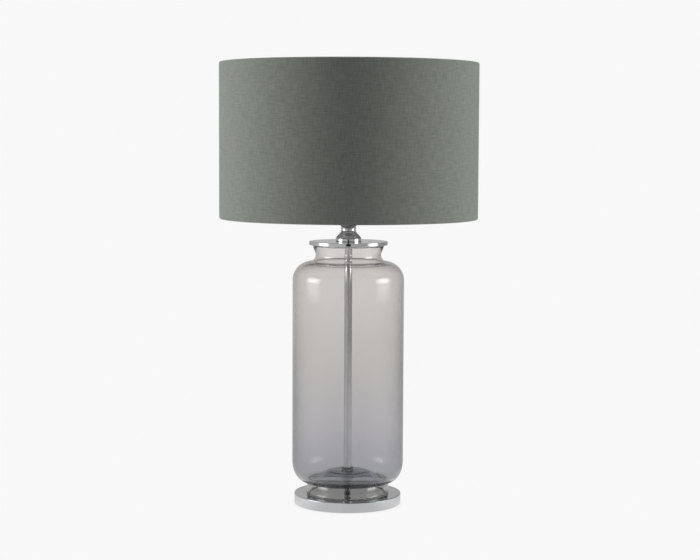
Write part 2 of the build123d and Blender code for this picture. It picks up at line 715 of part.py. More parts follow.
PIECES = {
    "base_felt": base_felt,
    "base_shell": base_shell,
    "base_weight": base_weight,
    "cable_gland": cable_gland,
    "base_washer": base_washer,
    "base_nut": base_nut,
    "threaded_rod": threaded_rod,
    "foot_gasket": foot_gasket,
    "glass_body": glass_body,
    "floor_nut": floor_nut,
    "floor_washer": floor_washer,
    "floor_seal": floor_seal,
    "floor_collar": floor_collar,
    "centre_tube": centre_tube,
    "lip_gasket": lip_gasket,
    "cap_disc": cap_disc,
    "neck_bell": neck_bell,
    "bell_ring": bell_ring,
    "holder_cup": holder_cup,
    "holder_lock_nut": holder_lock_nut,
    "holder_base": holder_base,
    "holder_sleeve": holder_sleeve,
    "contact_insulator": contact_insulator,
    "thread_shell": thread_shell,
    "centre_contact": centre_contact,
    "terminal_screws": terminal_screws,
    "switch_block": switch_block,
    "switch_bar": switch_bar,
    "shade_ring": shade_ring,
    "fitter_ring": fitter_ring,
    "fitter_arms": fitter_arms,
    "bottom_hoop": bottom_hoop,
    "top_hoop": top_hoop,
    "shade_lining": shade_lining,
    "shade_fabric": shade_fabric,
    "bulb_contact": bulb_contact,
    "bulb_insulator": bulb_insulator,
    "bulb_screw_cap": bulb_screw_cap,
    "bulb_housing": bulb_housing,
    "bulb_led_board": bulb_led_board,
    "bulb_globe": bulb_globe,
}

os.makedirs("parts", exist_ok=True)
for name, make in PIECES.items():
    export_step(make(), f"parts/{name}.step")
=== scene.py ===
"""A table lamp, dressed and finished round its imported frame.

A clear ombre glass body stands on a chrome disc. A chrome cap, bell and cup carry the lampholder,
with its bulb and a straight drum shade of woven cloth. Lengths are in metres, +Z is up, the origin
is the centre of the underside, and the front faces -Y.
"""
import logging
import math
from dataclasses import dataclass, field, replace
from enum import Enum
from functools import cache

import bpy
from mathutils import Matrix, Vector


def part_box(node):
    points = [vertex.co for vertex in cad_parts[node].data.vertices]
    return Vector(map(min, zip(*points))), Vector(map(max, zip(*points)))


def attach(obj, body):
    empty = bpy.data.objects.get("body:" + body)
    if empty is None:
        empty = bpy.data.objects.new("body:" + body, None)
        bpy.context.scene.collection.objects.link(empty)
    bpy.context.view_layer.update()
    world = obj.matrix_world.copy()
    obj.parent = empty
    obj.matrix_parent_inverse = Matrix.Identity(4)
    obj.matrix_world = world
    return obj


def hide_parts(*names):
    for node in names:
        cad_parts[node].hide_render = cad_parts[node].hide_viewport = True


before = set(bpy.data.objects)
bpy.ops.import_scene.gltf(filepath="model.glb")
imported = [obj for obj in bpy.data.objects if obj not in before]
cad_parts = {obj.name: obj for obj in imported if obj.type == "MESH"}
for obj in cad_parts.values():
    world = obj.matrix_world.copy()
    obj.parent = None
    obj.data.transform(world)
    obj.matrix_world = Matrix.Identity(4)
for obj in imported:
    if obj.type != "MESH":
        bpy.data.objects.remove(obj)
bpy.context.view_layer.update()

LOG = logging.getLogger("table_lamp")
MM = 0.001
FULL_TURN = math.tau
MERGE_DISTANCE = 0.002 * MM
SEED_SIZE = 1.0 * MM
SMOOTH_ANGLE = math.radians(32)
GLASS_ANGLE = math.radians(50)
CLOTH_ANGLE = math.radians(60)
FLAT_ANGLE = math.radians(0.5)

Piece = bpy.types.Object
Tree = bpy.types.NodeTree
Node = bpy.types.Node
Socket = bpy.types.NodeSocket
Rgb = tuple[float, float, float]
Point = tuple[float, float]
Range = tuple[float, float, float, float]


class Body(str, Enum):
    """The rigid bodies that pieces ride on."""

    ROOT = "root"
    SHADE = "shade"
    RING = "ring"
    BULB = "bulb"
    SWITCH = "switch"


# ------------------------------------------------------------------ modelling

def deselect() -> None:
    """Leaves nothing selected, in object mode."""
    if bpy.context.object is not None and bpy.context.object.mode != "OBJECT":
        bpy.ops.object.mode_set(mode="OBJECT")
    bpy.ops.object.select_all(action="DESELECT")


def pick(obj: Piece) -> None:
    """Selects one object alone and makes it the active one.

    Args:
        obj: The object to work on.
    """
    deselect()
    obj.select_set(True)
    bpy.context.view_layer.objects.active = obj


def rename(obj: Piece, name: str) -> Piece:
    """Gives an object and its mesh the same name.

    Args:
        obj: The object.
        name: A plain name.

    Returns:
        The same object.
    """
    obj.name = name
    obj.data.name = name
    return obj


def apply_modifiers(obj: Piece) -> None:
    """Applies every modifier of an object, in order."""
    pick(obj)
    for modifier in list(obj.modifiers):
        bpy.ops.object.modifier_apply(modifier=modifier.name)


def tidy_mesh(obj: Piece) -> None:
    """Merges doubled vertices and points every face outwards."""
    pick(obj)
    bpy.ops.object.mode_set(mode="EDIT")
    bpy.ops.mesh.select_all(action="SELECT")
    bpy.ops.mesh.remove_doubles(threshold=MERGE_DISTANCE)
    bpy.ops.mesh.normals_make_consistent(inside=False)
    bpy.ops.object.mode_set(mode="OBJECT")


def soften(obj: Piece, width: float = 0.0, steps: int = 2) -> Piece:
    """Rounds the sharp edges of a piece and shades the rest smooth.

    Args:
        obj: The piece.
        width: The bevel's width, or 0 for none.
        steps: The bevel's segments.

    Returns:
        The same piece.
    """
    if width > 0.0:
        bevel = obj.modifiers.new("rounded_edges", "BEVEL")
        bevel.width = width
        bevel.segments = steps
        bevel.limit_method = "ANGLE"
        bevel.angle_limit = SMOOTH_ANGLE
        apply_modifiers(obj)
    pick(obj)
    bpy.ops.object.shade_smooth_by_angle(angle=SMOOTH_ANGLE)
    flat = obj.modifiers.new("flat_stays_flat", "WEIGHTED_NORMAL")
    flat.keep_sharp = True
    flat.weight = 100
    apply_modifiers(obj)
    return obj


def smooth(share: float) -> float:
    """Eases a share that runs from 0 to 1, so that it starts and ends slowly."""
    return share * share * (3 - 2 * share)


@dataclass
class Outline:
    """A chain of (radius, height) points that a turned piece is spun from."""

    points: list[Point] = field(default_factory=list)

    def to(self, radius: float, height: float) -> "Outline":
        """Adds a straight run to a point."""
        self.points.append((radius, height))
        return self

    def arc(self, centre: Point, radii: Point, start: float, sweep: float,
            steps: int) -> "Outline":
        """Adds an elliptical arc, from start over sweep, both in degrees.

        Args:
            centre: The arc's centre.
            radii: Its radius outwards and its radius upwards.
            start: Its first angle, 0 outwards and 90 upwards.
            sweep: How far it turns, negative for clockwise.
            steps: The number of runs.

        Returns:
            This outline.
        """
        for index in range(steps + 1):
            angle = math.radians(start + sweep * index / steps)
            self.to(centre[0] + radii[0] * math.cos(angle), centre[1] + radii[1] * math.sin(angle))
        return self

    def ease(self, radius: float, height: float, steps: int, level: bool = False) -> "Outline":
        """Adds an S-curve up to a point.

        Args:
            radius: The radius where the curve ends.
            height: The height where it ends.
            steps: The number of runs.
            level: Whether its ends are level, and not upright.

        Returns:
            This outline.
        """
        from_radius, from_height = self.points[-1]
        for index in range(1, steps + 1):
            share = index / steps
            outwards, upwards = (share, smooth(share)) if level else (smooth(share), share)
            self.to(from_radius + (radius - from_radius) * outwards,
                    from_height + (height - from_height) * upwards)
        return self

    def close(self) -> "Outline":
        """Ends the chain on its first point."""
        self.points.append(self.points[0])
        return self


def draw_chain(name: str, points: list[Vector]) -> Piece:
    """Extrudes one vertex along a chain of points and leaves it in edit mode.

    Args:
        name: The object's name.
        points: The chain's points.

    Returns:
        The new object.
    """
    deselect()
    bpy.ops.mesh.primitive_plane_add(size=SEED_SIZE)
    obj = rename(bpy.context.object, name)
    bpy.ops.object.mode_set(mode="EDIT")
    bpy.ops.mesh.merge(type="CENTER")
    bpy.ops.transform.translate(value=points[0])
    for before, after in zip(points, points[1:]):
        bpy.ops.mesh.extrude_region_move(TRANSFORM_OT_translate={"value": after - before})
    return obj


def turn(name: str, outline: Outline, facets: int = 128, sweep: float = FULL_TURN,
         start: float = 0.0) -> Piece:
    """Spins an outline about the lamp's axis.

    Args:
        name: The piece's name.
        outline: Its section, as (radius, height) points.
        facets: Steps round the sweep.
        sweep: The angle that it is spun through.
        start: The angle at which it starts, 0 on +X.

    Returns:
        The turned piece, in object mode.
    """
    across = Vector((math.cos(start), math.sin(start), 0))
    chain = [across * radius + Vector((0, 0, height)) for radius, height in outline.points]
    obj = draw_chain(name, chain)
    bpy.ops.mesh.select_all(action="SELECT")
    whole = abs(sweep - FULL_TURN) < 1e-9
    bpy.ops.mesh.spin(steps=facets, angle=sweep, center=(0, 0, 0), axis=(0, 0, 1),
                      use_auto_merge=whole)
    bpy.ops.object.mode_set(mode="OBJECT")
    tidy_mesh(obj)
    return obj


def threaded_tube(name: str, crest: float, depth: float, pitch: float, low: float, high: float,
                  wall: float, facets: int) -> Piece:
    """Winds a screw thread, trims it flat and gives it a wall.

    Args:
        name: The piece's name.
        crest: Radius of the thread's crest.
        depth: Height of the thread.
        pitch: Rise in one turn.
        low: Height of the lower end.
        high: Height of the upper end.
        wall: Thickness inwards from the thread.
        facets: Steps in each turn.

    Returns:
        The finished tube.
    """
    start = low - 2 * pitch
    profile = [(crest - depth, 0.0), (crest - depth * 0.25, 0.2), (crest, 0.4),
               (crest - depth * 0.25, 0.6), (crest - depth, 0.8), (crest - depth, 1.0)]
    points = [Vector((radius, 0, start + share * pitch)) for radius, share in profile]
    obj = draw_chain(name, points)
    bpy.ops.object.mode_set(mode="OBJECT")
    screw = obj.modifiers.new("thread", "SCREW")
    screw.angle = FULL_TURN
    screw.screw_offset = pitch
    screw.iterations = math.ceil((high - low) / pitch) + 4
    screw.steps = facets
    screw.render_steps = facets
    apply_modifiers(obj)
    tidy_mesh(obj)
    bpy.ops.object.mode_set(mode="EDIT")
    for height, normal in ((low, (0, 0, -1)), (high, (0, 0, 1))):
        bpy.ops.mesh.select_all(action="SELECT")
        bpy.ops.mesh.bisect(plane_co=(0, 0, height), plane_no=normal, clear_outer=True)
    bpy.ops.object.mode_set(mode="OBJECT")
    solid = obj.modifiers.new("wall", "SOLIDIFY")
    solid.thickness = wall
    solid.offset = -1.0
    apply_modifiers(obj)
    return soften(obj)


def add_object(name: str, data: bpy.types.ID) -> Piece:
    """Links a new object with the given data to the scene."""
    obj = bpy.data.objects.new(name, data)
    bpy.context.scene.collection.objects.link(obj)
    return obj


def copy_of(node: str, name: str, edge: float = 0.0) -> Piece:
    """Copies a frame node as a clean mesh with rounded edges, to be shown in its place.

    Args:
        node: The node's name.
        name: The copy's name.
        edge: The width of its rounded edges.

    Returns:
        The copy.
    """
    deselect()
    obj = rename(add_object(name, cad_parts[node].data.copy()), name)
    tidy_mesh(obj)
    bpy.ops.object.mode_set(mode="EDIT")
    bpy.ops.mesh.select_all(action="SELECT")
    bpy.ops.mesh.dissolve_limited(angle_limit=FLAT_ANGLE)
    bpy.ops.object.mode_set(mode="OBJECT")
    return soften(obj, edge)


# ------------------------------------------------------------------ materials

@dataclass
class Graph:
    """Adds nodes to a node tree and joins them."""

    tree: Tree

    def node(self, kind: str, **settings: object) -> Node:
        """Adds a node and sets its properties."""
        made = self.tree.nodes.new(kind)
        for name, value in settings.items():
            setattr(made, name, value)
        return made

    def feed(self, target: Socket, value: object) -> None:
        """Links a socket to another one, or sets its own value."""
        if isinstance(value, Socket):
            self.tree.links.new(value, target)
        else:
            target.default_value = value

    def fill(self, node: Node, values: dict) -> Node:
        """Feeds the inputs of a node, given by name or number."""
        for socket, value in values.items():
            self.feed(node.inputs[socket], value)
        return node

    def coordinates(self) -> Socket:
        """The piece's own coordinates, in metres."""
        return self.node("ShaderNodeTexCoord").outputs["Object"]

    def split(self, vector: Socket) -> Node:
        """Separates a vector into X, Y and Z."""
        return self.fill(self.node("ShaderNodeSeparateXYZ"), {0: vector})

    def stretch(self, vector: Socket, scale: Rgb) -> Socket:
        """Scales coordinates along each axis."""
        made = self.node("ShaderNodeMapping")
        return self.fill(made, {"Vector": vector, "Scale": scale}).outputs[0]

    def noise(self, vector: Socket, scale: object, detail: float = 3.0,
              roughness: float = 0.5) -> Socket:
        """A soft noise from 0 to 1."""
        return self.fill(self.node("ShaderNodeTexNoise"), {
            "Vector": vector, "Scale": scale, "Detail": detail,
            "Roughness": roughness}).outputs["Fac"]

    def maths(self, operation: str, first: object, second: object = 0.0) -> Socket:
        """One arithmetic step on two values."""
        made = self.node("ShaderNodeMath", operation=operation)
        return self.fill(made, {0: first, 1: second}).outputs[0]

    def times(self, first: object, second: object) -> Socket:
        """Multiplies two values."""
        return self.maths("MULTIPLY", first, second)

    def plus(self, first: object, second: object) -> Socket:
        """Adds two values."""
        return self.maths("ADD", first, second)

    def without(self, value: object) -> Socket:
        """Takes a value from 1."""
        return self.maths("SUBTRACT", 1.0, value)

    def bearing(self, vector: Socket) -> Socket:
        """The compass direction of a vector, 0 at the front and positive to the right."""
        axes = self.split(vector)
        return self.maths("ARCTAN2", axes.outputs["X"], self.times(axes.outputs["Y"], -1.0))

    def remap(self, value: object, low: float, high: float, new_low: float,
              new_high: float) -> Socket:
        """Maps a value from one range to another, clamped."""
        values = dict(enumerate((value, low, high, new_low, new_high)))
        return self.fill(self.node("ShaderNodeMapRange"), values).outputs[0]

    def ramp(self, factor: object, stops: list[tuple[float, Rgb]]) -> Socket:
        """A colour ramp through the given stops."""
        made = self.node("ShaderNodeValToRGB")
        elements = made.color_ramp.elements
        for _ in stops[2:]:
            elements.new(1.0)
        for element, (position, colour) in zip(elements, stops):
            element.position = position
            element.color = (*colour, 1.0)
        self.feed(made.inputs[0], factor)
        return made.outputs[0]

    def curve(self, factor: object, stops: tuple[Point, ...]) -> Socket:
        """A value that runs through the given stops."""
        grey = self.ramp(factor, [(at, (level,) * 3) for at, level in stops])
        return self.split(grey).outputs["X"]

    def blend(self, factor: object, first: object, second: object,
              mode: str = "MIX") -> Socket:
        """Mixes two colours."""
        made = self.node("ShaderNodeMix", data_type="RGBA", blend_type=mode)
        return self.fill(made, {"Factor": factor, 6: first, 7: second}).outputs[2]

    def bump(self, height: object, strength: float, distance: float) -> Socket:
        """A normal from a height, in metres when the height runs from 0 to 1."""
        return self.fill(self.node("ShaderNodeBump"), {
            "Strength": strength, "Distance": distance, "Height": height}).outputs[0]

    def group(self, tree: Tree, **values: object) -> Node:
        """Places a node group with its own values."""
        named = {name.replace("_", " ").capitalize(): value for name, value in values.items()}
        return self.fill(self.node("ShaderNodeGroup", node_tree=tree), named)


def rgba(colour: Rgb) -> tuple[float, float, float, float]:
    """Adds a full alpha to a colour."""
    return (*colour, 1.0)


def scaled(colour: Rgb, factor: float) -> tuple[float, float, float, float]:
    """Makes a colour lighter or darker, and adds a full alpha."""
    return rgba(tuple(min(1.0, channel * factor) for channel in colour))


class Effects:
    """Node groups that several finishes share, each built once."""

    @staticmethod
    def start(name: str, inputs: dict[str, float]) -> tuple[Tree, Graph]:
        """Starts a group with a Vector input and the given number inputs.

        Args:
            name: The group's name.
            inputs: The name and default of each number input.

        Returns:
            The empty group and a graph that adds nodes to it.
        """
        tree = bpy.data.node_groups.new(name, "ShaderNodeTree")
        tree.interface.new_socket("Vector", in_out="INPUT", socket_type="NodeSocketVector")
        for label, value in inputs.items():
            tree.interface.new_socket(label, in_out="INPUT",
                                      socket_type="NodeSocketFloat").default_value = value
        return tree, Graph(tree)

    @staticmethod
    def outlet(graph: Graph, label: str, source: Socket) -> None:
        """Adds a number output to a group and joins it."""
        graph.tree.interface.new_socket(label, in_out="OUTPUT", socket_type="NodeSocketFloat")
        ends = [n for n in graph.tree.nodes if n.bl_idname == "NodeGroupOutput"]
        end = ends[0] if ends else graph.node("NodeGroupOutput")
        graph.feed(end.inputs[label], source)

    @classmethod
    @cache
    def handling(cls) -> Tree:
        """Smudges and hairline marks left by cloths and fingers, as masks from 0 to 1."""
        tree, graph = cls.start("handling_marks", {"Smudge scale": 18.0, "Mark scale": 260.0})
        given = graph.node("NodeGroupInput")
        vector = given.outputs["Vector"]
        clouds = graph.noise(vector, given.outputs["Smudge scale"], 4.0, 0.6)
        smudges = graph.remap(clouds, 0.42, 0.72, 0.0, 1.0)
        drawn = graph.stretch(vector, (1.0, 1.0, 0.06))
        hairs = graph.noise(drawn, given.outputs["Mark scale"], 2.0, 0.7)
        marks = graph.remap(hairs, 0.66, 0.74, 0.0, 1.0)
        cls.outlet(graph, "Smudges", smudges)
        cls.outlet(graph, "Marks", marks)
        return tree

    @classmethod
    @cache
    def grain(cls) -> Tree:
        """The fine uneven skin of a moulded, cast or pressed surface."""
        tree, graph = cls.start("surface_grain", {"Fine scale": 900.0, "Broad scale": 60.0})
        given = graph.node("NodeGroupInput")
        vector = given.outputs["Vector"]
        fine = graph.noise(vector, given.outputs["Fine scale"], 3.0, 0.6)
        broad = graph.noise(vector, given.outputs["Broad scale"], 3.0, 0.5)
        height = graph.plus(graph.times(fine, 0.7), graph.times(broad, 0.3))
        cls.outlet(graph, "Height", height)
        cls.outlet(graph, "Patches", broad)
        return tree

    @classmethod
    @cache
    def weave(cls) -> Tree:
        """A plain weave over UV metres, whose threads swell and thin along their length."""
        tree, graph = cls.start("plain_weave", {"Threads": 1500.0, "Slubs": 620.0})
        given = graph.node("NodeGroupInput")
        vector, threads = given.outputs["Vector"], given.outputs["Threads"]
        axes = graph.split(vector)
        heights = []
        for along, across, drawn, label in (("X", "Y", (1.0, 0.1, 1.0), "Warp"),
                                            ("Y", "X", (0.09, 1.0, 1.0), "Weft")):
            swell = graph.noise(graph.stretch(vector, drawn), given.outputs["Slubs"], 2.0, 0.65)
            cls.outlet(graph, label, graph.remap(swell, 0.34, 0.66, 0.0, 1.0))
            turns = graph.times(axes.outputs[along], threads)
            side = graph.plus(graph.times(turns, math.pi), graph.times(swell, 1.6))
            ridge = graph.maths("ABSOLUTE", graph.maths("SINE", side))
            under = graph.maths("SINE", graph.times(math.pi, graph.times(
                axes.outputs[across], threads)))
            lift = graph.plus(graph.times(under, 0.3), 0.7)
            heights.append(graph.times(ridge, lift))
        cls.outlet(graph, "Height", graph.maths("MAXIMUM", *heights))
        return tree


@dataclass(frozen=True)
class Finish:
    """A plain finish: its name, the record's slot and its shader values."""

    name: str
    slot: str
    colour: Rgb
    roughness: float = 0.5
    metallic: float = 0.0
    specular: float = 0.5
    grain: float = 0.0

    @cache
    def material(self) -> bpy.types.Material:
        """Builds the material once.

        Returns:
            The material.
        """
        made = bpy.data.materials.new(self.name)
        made.use_nodes = True
        shader = made.node_tree.nodes["Principled BSDF"]
        graph = Graph(made.node_tree)
        graph.fill(shader, {"Base Color": rgba(self.colour), "Roughness": self.roughness,
                            "Metallic": self.metallic, "Specular IOR Level": self.specular})
        self.paint(graph, shader)
        return made

    def paint(self, graph: Graph, shader: Node) -> None:
        """Adds a moulded or cast skin.

        Args:
            graph: The material's graph.
            shader: Its shader node.
        """
        skin = self.vary_gloss(graph, shader, (0.85, 1.2))
        tone = graph.remap(skin.outputs["Patches"], 0.35, 0.65, 0.0, 1.0)
        graph.feed(shader.inputs["Base Color"],
                   graph.blend(tone, scaled(self.colour, 0.86), rgba(self.colour)))
        graph.feed(shader.inputs["Normal"],
                   graph.bump(skin.outputs["Height"], 0.6, self.grain * MM))

    def vary_gloss(self, graph: Graph, shader: Node, spread: Point) -> Node:
        """Makes some patches of the surface glossier than others.

        Args:
            graph: The material's graph.
            shader: Its shader node.
            spread: The least and greatest share of the finish's roughness.

        Returns:
            The node with the masks of the surface's grain.
        """
        skin = graph.group(Effects.grain(), vector=graph.coordinates())
        low, high = (min(1.0, self.roughness * share) for share in spread)
        graph.feed(shader.inputs["Roughness"],
                   graph.remap(skin.outputs["Patches"], 0.3, 0.7, low, high))
        return skin


@dataclass(frozen=True)
class Plated(Finish):
    """Polished or plated metal with smudges and hairline marks."""

    smudge: float = 0.06

    def paint(self, graph: Graph, shader: Node) -> None:
        """Varies the gloss where the metal has been handled."""
        marks = graph.group(Effects.handling(), vector=graph.coordinates())
        smear = graph.times(marks.outputs["Smudges"], self.smudge)
        scuff = graph.times(marks.outputs["Marks"], self.smudge * 0.8)
        rough = graph.plus(graph.plus(smear, scuff), self.roughness)
        graph.feed(shader.inputs["Roughness"], rough)
        graph.feed(shader.inputs["Base Color"], graph.blend(
            marks.outputs["Smudges"], rgba(self.colour), scaled(self.colour, 0.93)))
        if self.grain > 0.0:
            graph.feed(shader.inputs["Normal"],
                       graph.bump(marks.outputs["Marks"], 0.4, self.grain * MM))


@dataclass(frozen=True)
class OmbreGlass(Finish):
    """Blown glass whose smoke tint deepens towards its foot."""

    # Painted shade at grazing angles: its depth, its sharpness, where it clears at foot and lip,
    # and its fade.
    painted_edge_shade_depth: float = 0.95
    painted_edge_shade_power: float = 2.6
    painted_edge_shade_starts: Point = (8.0 * MM, 34.0 * MM)
    painted_edge_shade_ends: Point = (10.0 * MM, 3.0 * MM)
    painted_edge_shade_fades: Point = (50.0 * MM, 80.0 * MM)
    low: float = 0.0
    high: float = 1.0
    tints: tuple[tuple[float, Rgb], ...] = ()

    def paint(self, graph: Graph, shader: Node) -> None:
        """Tints by height, paints shade on edges and keeps the glass clear and smooth."""
        graph.fill(shader, {"Transmission Weight": 1.0, "IOR": 1.5})
        height = graph.split(graph.coordinates()).outputs["Z"]
        share = graph.remap(height, self.low, self.high, 0.0, 1.0)
        tint = graph.ramp(share, list(self.tints))
        # Painted shade: the base colour darkens where the surface is seen edge-on, none at the
        # foot and lip, weaker higher up.
        slant = graph.node("ShaderNodeLayerWeight").outputs["Facing"]
        grazing = graph.maths("POWER", slant, self.painted_edge_shade_power)
        over_foot, under_lip, fading = self.painted_edge_shade_starts, self.painted_edge_shade_ends, self.painted_edge_shade_fades
        clear = graph.times(
            graph.remap(height, self.high - under_lip[0], self.high - under_lip[1], 1.0, 0.0),
            graph.remap(height, self.low + over_foot[0], self.low + over_foot[1], 0.0, 1.0))
        fade = graph.remap(height, self.low + fading[0], self.high - fading[1], 1.0, 0.5)
        painted_edge_shade = graph.without(graph.times(graph.times(clear, fade),
                                         graph.times(grazing, self.painted_edge_shade_depth)))
        graph.feed(shader.inputs["Base Color"], graph.blend(1.0, tint, painted_edge_shade, "MULTIPLY"))


@dataclass(frozen=True)
class ClearSeal(Finish):
    """Soft clear silicone, a little cloudy."""

    def paint(self, graph: Graph, shader: Node) -> None:
        """Lets most of the light through, with a cloudy variation in gloss."""
        graph.fill(shader, {"Transmission Weight": 0.7, "IOR": 1.42})
        self.vary_gloss(graph, shader, (0.7, 1.3))


@dataclass(frozen=True)
class WovenCloth(Finish):
    """Linen-look shade cloth: two tones of thread in a plain weave, with slubs."""

    shadow: Rgb = (0.1, 0.1, 0.1)
    threads: float = 1500.0
    relief: float = 0.25
    slub: float = 0.3

    def paint(self, graph: Graph, shader: Node) -> None:
        """Colours and raises the threads from the piece's UV map."""
        graph.fill(shader, {"Sheen Weight": 0.12, "Sheen Roughness": 0.5})
        flat = graph.node("ShaderNodeTexCoord").outputs["UV"]
        cloth = graph.group(Effects.weave(), vector=flat, threads=self.threads)
        height = cloth.outputs["Height"]
        # Painted shade: the low parts of the weave are darkened towards the shadow colour.
        threads = graph.blend(graph.remap(height, 0.25, 0.95, 0.0, 1.0),
                              rgba(self.shadow), rgba(self.colour))
        tones = scaled(self.colour, 1 - self.slub), scaled(self.colour, 1 + self.slub)
        warp, weft = (graph.blend(cloth.outputs[label], *tones) for label in ("Warp", "Weft"))
        slubs = graph.blend(0.5, warp, weft)
        graph.feed(shader.inputs["Base Color"], graph.blend(0.75, threads, slubs))
        graph.feed(shader.inputs["Normal"], graph.bump(height, 0.7, self.relief * MM))


@dataclass(frozen=True)
class Felt(Finish):
    """Pressed felt with short loose fibres."""

    def paint(self, graph: Graph, shader: Node) -> None:
        """Mottles the colour and roughens the surface with fibres."""
        shader.inputs["Sheen Weight"].default_value = 0.4
        where = graph.coordinates()
        fibres = graph.noise(graph.stretch(where, (1.0, 0.3, 1.0)), 1400.0, 5.0, 0.75)
        graph.feed(shader.inputs["Base Color"],
                   graph.blend(graph.remap(fibres, 0.35, 0.7, 0.0, 1.0), rgba(self.colour),
                               scaled(self.colour, 1.9)))
        graph.feed(shader.inputs["Normal"], graph.bump(fibres, 0.9, 0.3 * MM))


@dataclass(frozen=True)
class Opal(Finish):
    """Milky diffuser plastic that glows a little from inside."""

    def paint(self, graph: Graph, shader: Node) -> None:
        """Scatters light under the surface, with a faint moulded skin."""
        graph.fill(shader, {"Subsurface Weight": 0.35, "Subsurface Scale": 0.004})
        skin = self.vary_gloss(graph, shader, (0.85, 1.15))
        graph.feed(shader.inputs["Normal"], graph.bump(skin.outputs["Height"], 0.4, 0.03 * MM))


def radius_of(node: str) -> float:
    """The outer radius of a frame node that is turned about the axis."""
    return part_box(node)[1].x


def low_of(node: str) -> float:
    """The height of a frame node's lowest point."""
    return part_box(node)[0].z


def high_of(node: str) -> float:
    """The height of a frame node's highest point."""
    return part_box(node)[1].z


GLASS_TINTS = (
    (0.0, (0.60, 0.595, 0.57)),
    (0.045, (0.62, 0.62, 0.625)),
    (0.08, (0.575, 0.58, 0.595)),
    (0.14, (0.58, 0.58, 0.61)),
    (0.26, (0.645, 0.635, 0.65)),
    (0.50, (0.72, 0.705, 0.695)),
    (0.78, (0.80, 0.78, 0.765)),
    (1.0, (0.82, 0.80, 0.785)),
)
CHROME = Plated("polished_chrome", "chrome", (0.66, 0.665, 0.675), 0.02, 1.0, smudge=0.05)
GLASS = OmbreGlass("ombre_glass", "glass", (0.7, 0.7, 0.7), 0.0, low=low_of("glass_body"),
                   high=high_of("glass_body"), tints=GLASS_TINTS)
# The inner faces take lighter painted edge shade, and the glass floor none.
GLASS_INSIDE = replace(GLASS, name="ombre_glass_inside", painted_edge_shade_depth=0.85)
GLASS_FLOOR = replace(GLASS, name="ombre_glass_floor", painted_edge_shade_depth=0.0,
                      tints=tuple((end, (0.655, 0.67, 0.71)) for end in (0.0, 1.0)))
SEAL = ClearSeal("clear_silicone", "clear_seal", (0.85, 0.86, 0.85), 0.25)
CLOTH = WovenCloth("grey_green_linen", "shade_cloth", (0.235, 0.252, 0.225), 0.85,
                   shadow=(0.13, 0.14, 0.125), threads=1500.0)
LINING = Finish("white_laminate", "shade_lining", (0.82, 0.82, 0.79), 0.38, grain=0.04)
FELT = Felt("black_felt", "felt", (0.018, 0.018, 0.019), 0.95)
IRON = Finish("cast_iron", "cast_iron", (0.05, 0.05, 0.052), 0.6, 0.6, grain=0.35)
RUBBER = Finish("black_rubber", "black_rubber", (0.022, 0.022, 0.023), 0.62, grain=0.05)
ZINC = Plated("bright_zinc", "zinc_steel", (0.50, 0.50, 0.49), 0.22, 1.0, grain=0.03, smudge=0.25)
BLACK = Finish("black_moulding", "black_moulding", (0.02, 0.02, 0.021), 0.22, grain=0.02)
WHITE = Finish("white_moulding", "white_moulding", (0.80, 0.80, 0.78), 0.4, grain=0.03)
STEATITE = Finish("steatite", "steatite", (0.78, 0.75, 0.68), 0.55, grain=0.06)
BRASS = Plated("plain_brass", "brass", (0.70, 0.50, 0.22), 0.2, 1.0, grain=0.02, smudge=0.2)
NICKEL = Plated("nickel_plate", "nickel", (0.62, 0.60, 0.56), 0.18, 1.0, grain=0.02, smudge=0.2)
WIRE = Finish("white_powder_coat", "white_wire", (0.80, 0.80, 0.78), 0.42, grain=0.06)
OPAL = Opal("opal_diffuser", "opal", (0.88, 0.88, 0.85), 0.3)


def place(piece: Piece, body: Body, finish: Finish, *nodes: str) -> Piece:
    """Dresses a piece, fixes it to its body and lets it stand for frame nodes.

    Args:
        piece: The finished piece.
        body: The body that it rides on.
        finish: Its finish.
        nodes: The frame nodes that it stands for.

    Returns:
        The same piece.
    """
    piece.data.materials.clear()
    piece.data.materials.append(finish.material())
    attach(piece, body.value)
    if nodes:
        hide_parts(*nodes)
    LOG.info("%s rides on %s with %d faces", piece.name, body.value, len(piece.data.polygons))
    return piece


def restore(node: str, name: str, body: Body, finish: Finish, edge: float = 0.0) -> None:
    """Shows a cleaned and softened copy in a frame node's place.

    Args:
        node: The node's name.
        name: The copy's name.
        body: The body that it rides on.
        finish: Its finish.
        edge: The width of its rounded edges.
    """
    place(copy_of(node, name, edge), body, finish, node)


def ring_for(node: str, name: str, finish: Finish, bore: float, edge: float,
             facets: int = 96) -> Piece:
    """Turns a flat ring or short tube, and shows it in a frame node's place.

    Args:
        node: The node's name, whose height and radius the ring takes.
        name: The ring's name.
        finish: Its finish.
        bore: The radius of its hole.
        edge: The width of its rounded edges.
        facets: Steps round it.

    Returns:
        The ring.
    """
    low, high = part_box(node)
    outline = Outline().to(bore, low.z).to(high.x, low.z).to(high.x, high.z).to(bore, high.z)
    ring = soften(turn(name, outline.close(), facets), edge)
    return place(ring, Body.ROOT, finish, node)


# ------------------------------------------------------------------ stage

WALL_TONES = ((0.0, 0.50), (0.12, 0.50), (0.22, 0.60), (0.39, 0.60), (0.467, 0.57), (0.533, 0.48),
              (0.61, 0.47), (0.71, 0.45), (0.847, 0.34), (1.0, 0.50))
# Painted light on the floor as mirrors see it, by bearing from the front (0) to the back (1):
# brightest beside the side lamps, darkest behind.
PAINTED_POOL_TONES = ((0.0, 0.67), (0.2, 0.70), (0.33, 0.86), (0.43, 0.92), (0.53, 0.80), (0.65, 0.66),
              (0.80, 0.44), (1.0, 0.40))
LIFT_AFTER_MIRROR = 0.36
GAP_ANGLES = (math.radians(5.0), math.radians(9.0))
GAP_DEPTH = 0.96


